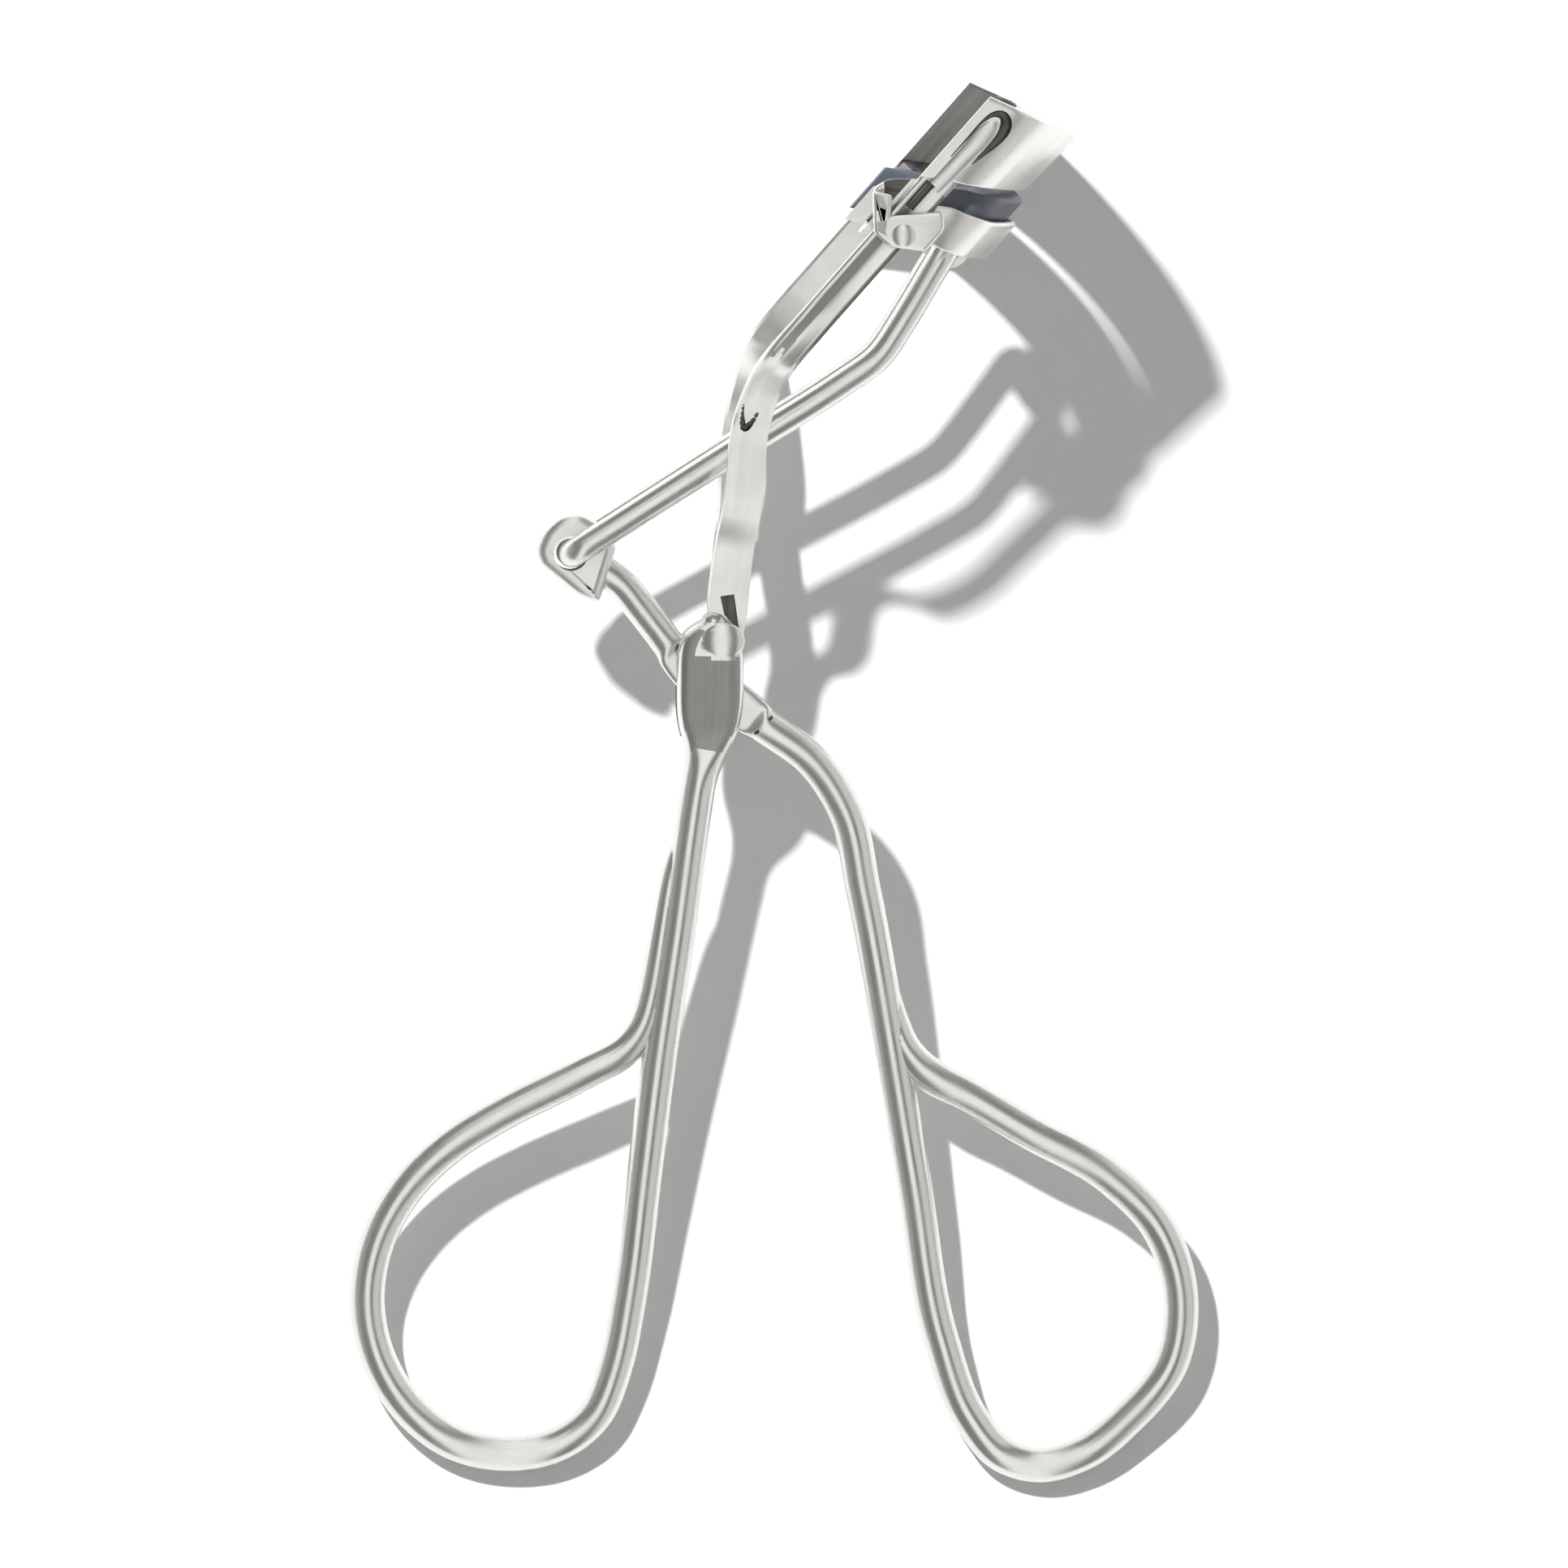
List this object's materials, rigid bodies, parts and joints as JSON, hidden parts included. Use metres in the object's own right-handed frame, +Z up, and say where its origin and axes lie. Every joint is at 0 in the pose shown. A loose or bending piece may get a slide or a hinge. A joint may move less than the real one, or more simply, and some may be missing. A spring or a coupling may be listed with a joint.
{
  "type": "eyelash curler",
  "caption": "Metal eyelash curler with wire finger loops; squeezing them slides a rubber-padded lower jaw up two rails to a curved upper jaw.",
  "frame": {"origin": "middle of the bounding box's underside, on the surface that the curler lies on", "axes": "+Y from the finger loops towards the jaws, +X across the handles from the fixed one to the moving one, +Z up from the surface"},
  "size_m": [0.0622, 0.1034, 0.0335],
  "materials": {
    "frame_metal": "polished nickel plate over stamped sheet",
    "handle_metal": "polished nickel plate over drawn wire",
    "pad_rubber": "matt slate-blue rubber"
  },
  "bodies": {
    "frame": {"jaw_frame": "frame_metal", "fixed_handle": "handle_metal", "pivot_pin": "handle_metal"},
    "lever": {"moving_handle": "handle_metal", "lever_cap": "frame_metal"},
    "sliding_jaw": {"lower_jaw": "frame_metal", "lash_pad": "pad_rubber"},
    "link": {"drive_link": "handle_metal"}
  },
  "joints": [
    {"name": "handle_pivot", "type": "hinge", "parent": "frame", "child": "lever", "pos_m": [-0.00445, 0.00568, 0.01081], "axis": [0, -0.1674, 0.9859], "range_deg": [-1.2, 25]},
    {"name": "jaw_slide", "type": "slide", "parent": "frame", "child": "sliding_jaw", "axis": [0.6613, 0.7395, 0.1256], "range_m": [-0.0063, 0.00035]},
    {"name": "link_swing", "type": "hinge", "parent": "sliding_jaw", "child": "link", "pos_m": [0.01245, 0.03792, 0.01629], "axis": [0, -0.1674, 0.9859], "range_deg": [-0.2, 1.7]}
  ],
  "couplings": [
    {"joint": "jaw_slide", "follows": "handle_pivot", "m_per_rad": -0.01425},
    {"joint": "link_swing", "follows": "handle_pivot", "ratio": 0.06}
  ]
}
